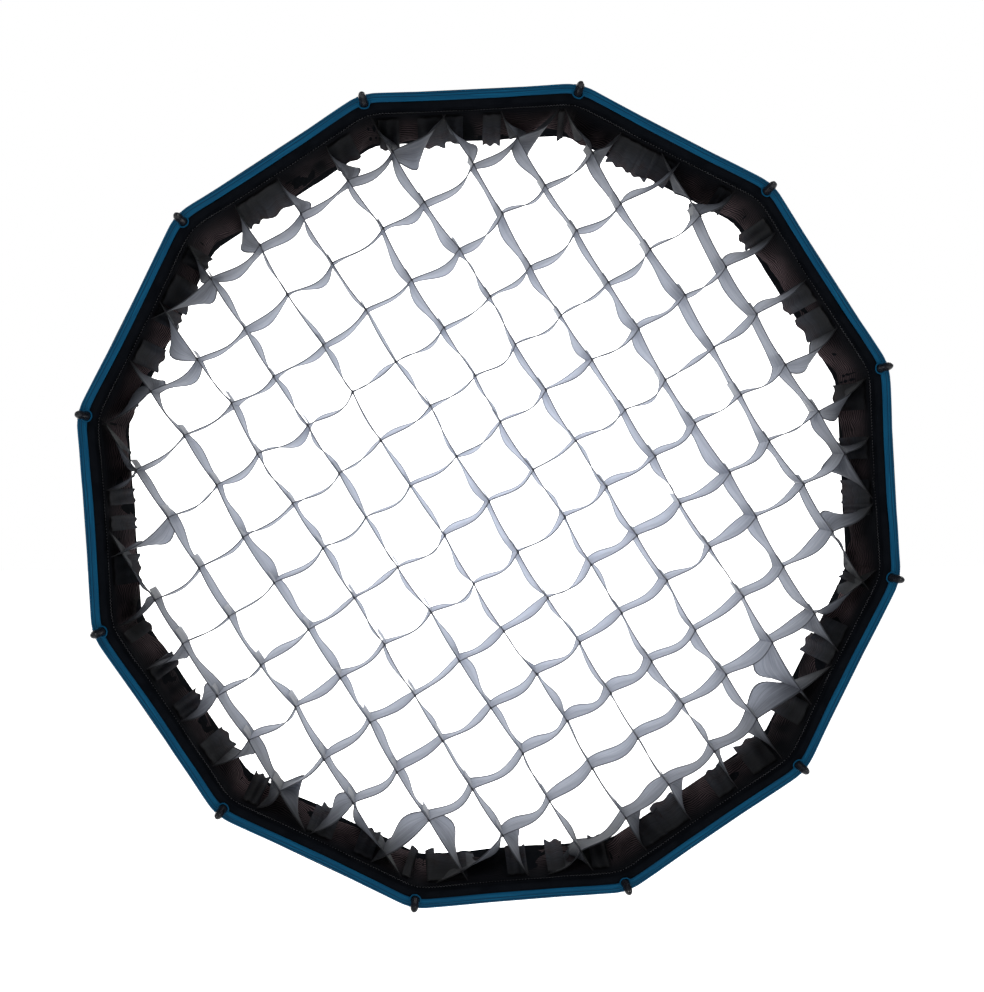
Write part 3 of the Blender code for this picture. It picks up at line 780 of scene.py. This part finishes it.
def rim_profile():
    """(corner radius, y, kind) rows: binding, flat of the rim, then down the lip.
    kind 0 is binding, 1 lip cloth."""
    back = along(RIM_SLOPE + 1.5)
    out = outward(RIM_SLOPE)
    corner = Vector((RIM_RADIUS, RIM_Y))
    rows = []
    for s, lift in ((0.0130, 0.0002), (0.0128, 0.0012), (0.0085, 0.0014), (0.0048, 0.0010),
                    (0.0026, 0.0013), (0.0010, 0.0008)):
        p = corner - s * back + lift * out
        rows.append((p.x, p.y, 0))
    for inside, rise in ((0.0004, 0.0006), (0.0018, 0.0013), (0.0030, 0.0011), (0.0036, 0.0006),
                         (0.0044, 0.0012), (0.0060, 0.0013), (0.0068, 0.0007), (0.0076, 0.0012),
                         (0.0092, 0.0011), (0.0101, 0.0006), (BINDING_FACE + 0.0001, -0.0006)):
        rows.append((RIM_RADIUS - inside, RIM_Y - rise, 0))
    rows.append((RIM_RADIUS - BINDING_FACE - 0.0003, RIM_Y + 0.0003, 1))
    for inside, rise in ((0.0135, 0.0), (0.0165, -0.0002), (0.0190, -0.0008)):
        rows.append((RIM_RADIUS - inside, RIM_Y - rise, 1))
    for depth in (0.0028, 0.006, 0.010, 0.015, 0.021, 0.028, 0.036, 0.045, 0.055, LIP_DEPTH):
        ease = 1 - smooth_step(0.0, 0.02, depth)
        rows.append((lip_radius(depth, LIP_OFFSET) + 0.0012 * ease, RIM_Y + depth, 1))
    return rows


def rim_columns(radius):
    half = half_width(radius)
    shares = [0, 0.02, 0.045, 0.075, 0.11, 0.16, 0.22, 0.3, 0.4, 0.5, 0.6, 0.7, 0.8, 0.9, 1.0]
    right = [half * s for s in shares]
    return [-x for x in reversed(right[1:])] + right, half


def rim_point(radius, y, kind, x, half, angle):
    """A point of the binding or lip: slightly bowed in between the rods, pinched at them."""
    around = abs(x) / half
    bow = 0.0013 * math.sin(math.pi / 2 * around) ** 2
    corner = 0.0018 * math.exp(-(x / 0.008) ** 2)
    p = placed(x, radius - flat_side(x) - bow - corner, y, angle)
    free = smooth_step(0.04, 0.3, around)
    out = placed(x, radius, 0, angle).normalized()
    if kind == 0:
        near = math.exp(-(abs(x) / 0.022) ** 2)
        pucker = 0.00035 * waviness(p, 0.006, 2.0) * (0.4 + near)
        p += Vector((0, -1, 0)) * pucker + out * 0.0006 * waviness(p, 0.05, 5.0) * free
    else:
        deep = smooth_step(RIM_Y, RIM_Y + 0.03, y)
        p += out * free * (0.0006 + 0.0016 * deep) * waviness(p, 0.035, 7.0) - out * 0.0014 * deep
    return p


def rim_piece(n):
    """Binding, the flat behind it, the lip and the loop round the rod's tip, for one rod."""
    angle = rod_angle(n)
    cloth = Cloth(BINDING, LIP, THREAD)
    rows, uvs, kinds, run = [], [], [], 0.0
    profile = rim_profile()
    for i, (radius, y, kind) in enumerate(profile):
        if i:
            run += math.hypot(radius - profile[i - 1][0], y - profile[i - 1][1])
        xs, half = rim_columns(radius)
        rows.append([rim_point(radius, y, kind, x, half, angle) for x in xs])
        uvs.append([(x, run) for x in xs])
        kinds.append(kind)
    cloth.grid(rows, uvs, [max(a, b) for a, b in zip(kinds, kinds[1:])], flip=True)
    zigzag(cloth, angle)
    loop = []
    exit_radius = on_arc(RIM_SLOPE).x
    wobble = random.Random(n)
    for k in range(20):
        a = math.tau * k / 20
        r = LOOP_RADIUS * (1 + 0.07 * math.cos(2 * a + wobble.uniform(-0.4, 0.4)))
        stretch = 1.12 if math.sin(a) > 0 else 1.0
        loop.append(placed(r * math.cos(a), exit_radius + stretch * r * math.sin(a) - 0.0004,
                           RIM_Y - 0.0016 - 0.0005 * math.cos(3 * a), angle))
    loop_of_cord(cloth, loop, LOOP_THICKNESS)
    obj = cloth.object(f"rim_{n + 1:02d}")
    fold_with(obj, n)


def zigzag(cloth, angle):
    """Overlock thread on the lip, just behind the rim."""
    radius = lip_radius(STITCH_DEPTH)
    half = half_width(radius)
    step, swing, width = 0.0016, 0.0011, 0.00028
    count = int(half // step)
    for k in range(-count, count):
        ends = []
        for m in (k, k + 1):
            x = m * step
            y = RIM_Y + STITCH_DEPTH + (swing if m % 2 else -swing)
            p = rim_point(lip_radius(y - RIM_Y) + 0.0004, y, 1, x, half, angle)
            ends.append(p - placed(x, radius, 0, angle).normalized() * 0.0009)
        a, b = ends
        side = (b - a).cross(placed(0, 1, 0, angle)).normalized() * width
        corners = [cloth.point(p) for p in (a - side, a + side, b + side, b - side)]
        cloth.face(corners, [(0, 0), (0, width), (step, width), (step, 0)], 2)


# ---------------------------------------------------------------- diffuser and baffle


def panel(name, material, radius, y, rings=22, hem=0.012):
    """Twelve-sided cloth held at its edge, with a hem and faint puckers from the corners."""
    cloth = Cloth(material)
    rows, uvs = [], []
    shares = [0.02] + [k / rings for k in range(1, rings)] + [
        1 - hem / radius, 1 - hem / radius + 0.002, 1.0]
    per_side = 8
    for share in shares:
        row, uv = [], []
        for k in range(RODS * per_side):
            side, within = divmod(k, per_side)
            a, b = rod_angle(side), rod_angle(side + 1)
            t = within / per_side
            edge = placed(0, radius, 0, a).lerp(placed(0, radius, 0, b), t)
            p = edge * share
            toward = math.exp(-((t if t < 0.5 else 1 - t) / 0.10) ** 2)
            ease = 1 - share ** 2
            ripple = 0.0012 * waviness(p, 0.05, 4.0) * ease
            pucker = 0.0012 * toward * smooth_step(0.75, 0.97, share) * math.sin(46 * share)
            hem_rise = 0.0009 if share > 1 - hem / radius + 0.001 else 0.0
            p.y = y + ripple + pucker - hem_rise
            row.append(p)
            uv.append((p.x, p.z))
        rows.append(row)
        uvs.append(uv)
    made = cloth.grid(rows, uvs, 0, closed=True)
    centre = cloth.point((0, y, 0))
    first, uv = made[0], uvs[0]
    for k in range(len(first)):
        m = (k + 1) % len(first)
        cloth.face([first[m], first[k], centre], [uv[m], uv[k], (0, 0)])
    return cloth.object(name)


def front_diffuser():
    radius = lip_radius(DIFFUSER_DEPTH) - CLOTH - EDGE_CLEARANCE
    obj = panel("diffuser_panel", DIFFUSER, radius, RIM_Y + DIFFUSER_DEPTH + PANEL_BACK)
    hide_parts("front_diffuser")
    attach(obj, "diffuser")


def inner_baffle():
    obj = panel("baffle_panel", BAFFLE, BAFFLE_RADIUS, BAFFLE_Y + PANEL_BACK, hem=0.015)
    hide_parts("inner_baffle")
    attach(obj, "baffle")


# ---------------------------------------------------------------- grid


class Grid:
    """Where the two families of ribbons cross, and where they meet the skirt."""

    def __init__(self):
        self.at, self.rear, self.shift = {}, {}, {}
        wander = random.Random(5)
        for i in range(-16, 17):
            for j in range(-16, 17):
                self.shift[i, j] = Vector((wander.uniform(-1, 1), wander.uniform(-1, 1)))
        for key, shift in self.shift.items():
            p = CROSSING + key[0] * FAMILY_A + key[1] * FAMILY_B
            p = p + CROSSING_WANDER * shift
            if self.room(p, 0.5) > 0.012:
                self.at[key] = p
                lean = Vector((wander.uniform(-1, 1), wander.uniform(-1, 1)))
                self.rear[key] = p + LEAN * lean

    @staticmethod
    def sides(share):
        """Number, outward direction and distance of each side of the skirt, at that share of
        the way from front to rear."""
        depth = SKIRT_FRONT + share * (SKIRT_REAR - SKIRT_FRONT)
        clear = CLOTH + EDGE_CLEARANCE + GRID_CLEARANCE
        for n in range(RODS):
            a = rod_angle(n) + HALF_PITCH
            yield n, (math.sin(a), math.cos(a)), (lip_radius(depth) - clear) * math.cos(HALF_PITCH)

    @staticmethod
    def room(p, share):
        """Distance from p to the skirt."""
        return min(limit - (p.x * x + p.y * z) for _, (x, z), limit in Grid.sides(share))

    @staticmethod
    def reach(p, way, share):
        """Distance from p along way to the skirt, and the side it meets."""
        found = []
        for n, (x, z), limit in Grid.sides(share):
            toward = way.x * x + way.y * z
            if toward > 1e-6:
                found.append(((limit - (p.x * x + p.y * z)) / toward, n))
        return min(found)


def grid_point(p, share):
    """The point over p in the front view, at that share of the way from front to rear."""
    return Vector((p.x, RIM_Y + GRID_FRONT + share * RIBBON_HEIGHT, p.y))


def ribbon_rows(start, end, sag, rear_bow, rear_twist):
    """Rows from front edge to rear edge along one span, which hangs in a hooked curve.
    start and end are (front point, rear point) pairs, as (x, z)."""
    rows = []
    way = (end[0] - start[0]).normalized()
    side = Vector((way.y, -way.x))
    if side.y > 0:
        side = -side
    for k in range(SPAN_STEPS + 1):
        t = k / SPAN_STEPS
        front = start[0].lerp(end[0], t)
        rear = start[1].lerp(end[1], t)
        hang = math.sin(math.pi * (t if way.y < 0 else t ** 1.35))
        row = []
        for m in range(5):
            w = m / 4
            p = front.lerp(rear, w)
            shift = sag * hang + w * (rear_bow * math.sin(math.pi * t)
                                      + rear_twist * math.sin(math.tau * t))
            row.append(grid_point(p + side * shift, w))
        rows.append(row)
    return rows


def on_grid(cloth, name):
    obj = cloth.object(name)
    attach(obj, "grid")
    return obj


def add_span(cloth, rows):
    """One span of ribbon with its hems; returns its length."""
    uvs, length = [], 0.0
    for k, row in enumerate(rows):
        if k:
            length += (row[0] - rows[k - 1][0]).length
        uvs.append([(length, RIBBON_HEIGHT * m / 4) for m in range(len(row))])
    cloth.grid(rows, uvs)
    add_hems(cloth, rows)
    return length


def add_hems(cloth, rows):
    """Rolled hem along a span's front and rear edges."""
    for edge, inner in ((0, 1), (-1, -2)):
        rings, uvs, run = [], [], 0.0
        for k, row in enumerate(rows):
            before, after = rows[max(k - 1, 0)][edge], rows[min(k + 1, len(rows) - 1)][edge]
            way = (after - before).normalized()
            down = (row[edge] - row[inner]).normalized()
            side = way.cross(down).normalized()
            ring = [row[edge] + HEM_HALF * (math.cos(a) * side + math.sin(a) * down)
                    for a in (0, math.pi / 2, math.pi, 1.5 * math.pi)]
            rings.append(ring)
            uvs.append([(run, RIBBON_HEIGHT / 2 + 0.001 * m) for m in range(4)])
            run += (after - before).length / 2
        cloth.grid(rings, uvs, 1, closed=True)


def loose_end(grid, key, direction, sag, rng):
    """Rows of the last span of a ribbon, from its crossing out to the skirt, swung to one
    side at the rear; and where it meets the skirt, front and rear, and on which side."""
    p = grid.at[key]
    reach_front, side = grid.reach(p, direction, 0.0)
    reach_rear, _ = grid.reach(p, direction, 1.0)
    swing = rng.uniform(*END_SWING) * rng.choice((-1, 1))
    across = Vector((direction.y, -direction.x))
    front = p + direction * reach_front
    rear = p + direction * max(reach_rear, 0.004)
    rows = ribbon_rows((p, grid.rear[key]), (front, rear), sag * rng.uniform(0.5, 1.2), 0.0, 0.0)
    for i, row in enumerate(rows):
        hang = math.sin(math.pi * min(1, i / SPAN_STEPS * 1.05)) ** 1.2
        for m, r in enumerate(row):
            away = swing * hang * m / 4
            r.x += across.x * away
            r.z += across.y * away
    return rows, (front, rear, side)


def family(grid, name, step, sag, seed):
    """All ribbons of one family, from skirt to skirt, as one piece; returns their ends."""
    cloth = Cloth(RIBBON, HEM)
    rng = random.Random(seed)
    total, ends, lines = 0.0, [], {}
    for key in grid.at:
        lines.setdefault(key[1] if step == (1, 0) else key[0], []).append(key)
    way = (FAMILY_A if step == (1, 0) else FAMILY_B).normalized()
    for line in sorted(lines):
        keys = sorted(lines[line])
        for key in keys:
            after = (key[0] + step[0], key[1] + step[1])
            if after in grid.at:
                rows = ribbon_rows((grid.at[key], grid.rear[key]),
                                   (grid.at[after], grid.rear[after]),
                                   sag * rng.uniform(0.5, 1.35), SLACK * rng.uniform(-1, 1),
                                   SLACK * rng.uniform(-0.8, 0.8))
                total += add_span(cloth, rows)
            for last, direction in ((keys[0], -way), (keys[-1], way)):
                if key == last:
                    rows, end = loose_end(grid, key, direction, sag, rng)
                    total += add_span(cloth, rows)
                    ends.append((*end, rng.choice((-1, 1))))
    obj = on_grid(cloth, name)
    return ends


def laps_and_knots(grid):
    """The sewn lap beside each crossing, and the bar tack that closes it."""
    laps, knots = Cloth(LAP), Cloth(KNOT)
    rng = random.Random(8)
    up = -FAMILY_A.normalized()
    side = Vector((up.y, -up.x))
    for key in sorted(grid.at):
        p = grid.at[key]
        length = LAP_LENGTH * rng.uniform(0.75, 1.1)
        if grid.room(p + up * length, 0.9) > 0.004:
            rows, uvs = [], []
            for k in range(4):
                q = p + up * (length * k / 3) + side * (0.0010 + 0.0004 * math.sin(k))
                rows.append([grid_point(q, 0.02 + 0.96 * m / 4) for m in range(5)])
                uvs.append([(length * k / 3, RIBBON_HEIGHT * m / 4) for m in range(5)])
            laps.grid(rows, uvs)
        knot(knots, p, rng)
    on_grid(laps, "grid_laps")
    on_grid(knots, "grid_knots")


def knot(cloth, p, rng):
    """A small bar tack at a crossing's front edge."""
    half, thick = 0.0024 * rng.uniform(0.8, 1.3), 0.0011
    way = FAMILY_A.normalized()
    rings, uvs = [], []
    for k in range(6):
        t = k / 5
        q = p + way * half * (2 * t - 1)
        r = thick * math.sqrt(max(0.05, math.sin(math.pi * (0.06 + 0.88 * t))))
        ring = []
        for m in range(8):
            a = math.tau * m / 8
            across = Vector((way.y, -way.x)) * (r * math.cos(a))
            ring.append(Vector((q.x + across.x, RIM_Y + GRID_FRONT - 0.0004 + 1.6 * r * math.sin(a),
                                q.y + across.y)))
        rings.append(ring)
        uvs.append([(t * half, 0.001 * m) for m in range(8)])
    cloth.grid(rings, uvs, closed=True)


def skirt_point(side, along_side, depth, lift):
    """A point against the lip on one side of the twelve; lift is how far in from it."""
    a = rod_angle(side) + HALF_PITCH
    z = (lip_radius(depth) - CLOTH - SKIRT_CLEARANCE) * math.cos(HALF_PITCH) - lift
    return placed(along_side, z, RIM_Y + depth, a)


def skirt():
    """Cloth band round the grid, gathered, with a scalloped rear edge."""
    cloth = Cloth(SKIRT)
    down = 12
    per_side = 40
    rows = [[] for _ in range(down + 1)]
    uvs = [[] for _ in range(down + 1)]
    run = 0.0
    for side in range(RODS):
        for k in range(per_side):
            t = (k + 0.5) / per_side * 2 - 1
            for m in range(down + 1):
                w = m / down
                depth = SKIRT_FRONT - 0.002 + w * (SKIRT_REAR - SKIRT_FRONT)
                half = lip_radius(depth) * math.sin(HALF_PITCH)
                base = skirt_point(side, t * half * 0.985, depth, 0.0)
                loose = smooth_step(0.0, 0.7, w)
                gather = 0.0022 * waviness(base, 0.014, 11.0) + 0.0035 * waviness(base, 0.045, 6.0)
                lift = 0.0004 + loose * abs(gather)
                scallop = loose * (0.002 + 0.012 * waviness((base.x, 0, base.z), 0.032, 21.0))
                rows[m].append(skirt_point(side, t * half * 0.985, depth - scallop, lift))
                uvs[m].append((run, depth))
            run += 0.232 / per_side
    cloth.grid(rows, uvs, closed=True, flip=True)
    obj = on_grid(cloth, "grid_skirt")
    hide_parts("grid_band", "grid_strips")


def tabs(ends):
    """Each ribbon's end turned along the skirt and sewn to it, in loose pleats."""
    cloth = Cloth(SHADED_TAB)
    rng = random.Random(31)
    for front, rear, side, way in ends:
        a = rod_angle(side) + HALF_PITCH
        start = front.x * math.cos(a) - front.y * math.sin(a)
        length = rng.uniform(*TAB_LENGTH)
        limit = lip_radius(SKIRT_REAR) * math.sin(HALF_PITCH) - 0.006
        drop = rng.uniform(*TAB_DROP)
        pleats = rng.uniform(*TAB_PLEATS)
        rows, uvs = [], []
        for k in range(13):
            t = k / 12
            x = max(-limit, min(limit, start + way * length * t))
            row = []
            for m in range(9):
                w = m / 8
                depth = SKIRT_FRONT + 0.001 + w * drop * (SKIRT_REAR - SKIRT_FRONT)
                fold = math.sin(pleats * math.tau * t + 1.1 * w)
                lift = 0.0042 + (0.0004 + 0.0012 * w) * fold + 0.0045 * w * w
                row.append(skirt_point(side, x, depth, lift))
            rows.append(row)
            uvs.append([(length * t, RIBBON_HEIGHT * m / 8) for m in range(9)])
        cloth.grid(rows, uvs)
    on_grid(cloth, "grid_tabs")


def fabric_grid():
    skirt()
    grid = Grid()
    ends = family(grid, "grid_ribbons_a", (1, 0), SAG_A, 12)
    ends += family(grid, "grid_ribbons_b", (0, 1), SAG_B, 27)
    laps_and_knots(grid)
    tabs(ends)


# ---------------------------------------------------------------- CAD nodes' finishes


def finish_cad():
    plastic = moulded_look("hub_moulding", (0.014, 0.014, 0.016), (0.024, 0.024, 0.027))
    socket = moulded_look("socket_moulding", (0.012, 0.012, 0.014), (0.020, 0.020, 0.023),
                          (0.40, 0.60), 0.0007)
    turned = metal_look("insert_metal", (0.50, 0.51, 0.53), (0.66, 0.67, 0.69), (0.20, 0.36),
                        (1, 14, 1))
    spring = metal_look("spring_steel", (0.36, 0.37, 0.39), (0.50, 0.51, 0.53), (0.22, 0.34),
                        (1, 8, 1))
    anodised = metal_look("anodised_metal", (0.12, 0.13, 0.14), (0.19, 0.20, 0.22),
                          (0.28, 0.42), (1, 10, 1))
    rod, tip = rod_look(), tip_look()
    finishes = {
        "bayonet_insert": turned, "insert_circlip": spring, "latch_spring": spring,
        "latch_ring": anodised, "latch_stop_ring": anodised, "hub_base": plastic,
        "hub_rear_cover": plastic, "lock_knob": plastic,
    }
    for name, look in finishes.items():
        look.paint(nodes[name])
    for n in range(1, RODS + 1):
        socket.paint(nodes[f"rod_socket_{n:02d}"])
        rod.paint(nodes[f"rod_{n:02d}"])
        tip.paint(nodes[f"rod_tip_{n:02d}"])


# ---------------------------------------------------------------- studio


def camera():
    data = bpy.data.cameras.new("camera")
    data.lens = CAMERA_LENS
    data.sensor_width = 36
    data.sensor_fit = "AUTO"
    data.clip_start, data.clip_end = 0.05, 50
    obj = new_object("camera", data)
    obj.location = CAMERA_AT
    yaw, pitch = math.radians(CAMERA_YAW_DEG), math.radians(CAMERA_PITCH_DEG)
    forward = Vector((math.sin(yaw) * math.cos(pitch), math.cos(yaw) * math.cos(pitch),
                      math.sin(pitch)))
    obj.rotation_euler = forward.to_track_quat("-Z", "Y").to_euler()
    bpy.context.scene.camera = obj


def area_light(name, at, target, size, power):
    data = bpy.data.lights.new(name, "AREA")
    data.shape = "RECTANGLE"
    data.size, data.size_y = size
    data.energy = power
    obj = new_object(name, data)
    obj.location = at
    obj.rotation_euler = (Vector(target) - Vector(at)).to_track_quat("-Z", "Y").to_euler()


def studio():
    world = bpy.data.worlds.new("studio")
    world.use_nodes = True
    tree = world.node_tree
    tree.nodes["Background"].inputs["Color"].default_value = (1, 1, 1, 1)
    seen = tree.nodes.new("ShaderNodeLightPath").outputs["Is Camera Ray"]
    strength = tree.nodes.new("ShaderNodeMapRange")
    strength.inputs["To Min"].default_value = WORLD_LIGHT
    tree.links.new(seen, strength.inputs["Value"])
    tree.links.new(strength.outputs["Result"], tree.nodes["Background"].inputs["Strength"])
    bpy.context.scene.world = world
    bpy.context.scene.view_settings.view_transform = "Standard"
    for light in LIGHTS:
        area_light(*light)
    look = Look("studio_floor", roughness=0.7)
    speckle = look.grain(look.place(False), 0.02, 4)
    look.colour(look.ramp(speckle, (0.2, (0.93, 0.93, 0.93)), (0.8, (0.97, 0.97, 0.97))))
    look.set("Emission Color", (1, 1, 1, 1))
    look.set("Emission Strength", 0.75)
    look.material.cycles.emission_sampling = "NONE"
    data = bpy.data.meshes.new("floor")
    corners = ((-1, -1), (1, -1), (1, 1), (-1, 1))
    data.from_pydata([(FLOOR_HALF * x, FLOOR_HALF * y, FLOOR_Z) for x, y in corners], [],
                     [(0, 1, 2, 3)])
    data.materials.append(look.material)
    new_object("floor", data)


def main():
    camera()
    studio()
    finish_cad()
    for n in range(RODS):
        shell_gore(n)
        hub_collar(n)
        rim_piece(n)
    front_diffuser()
    inner_baffle()
    fabric_grid()


main()
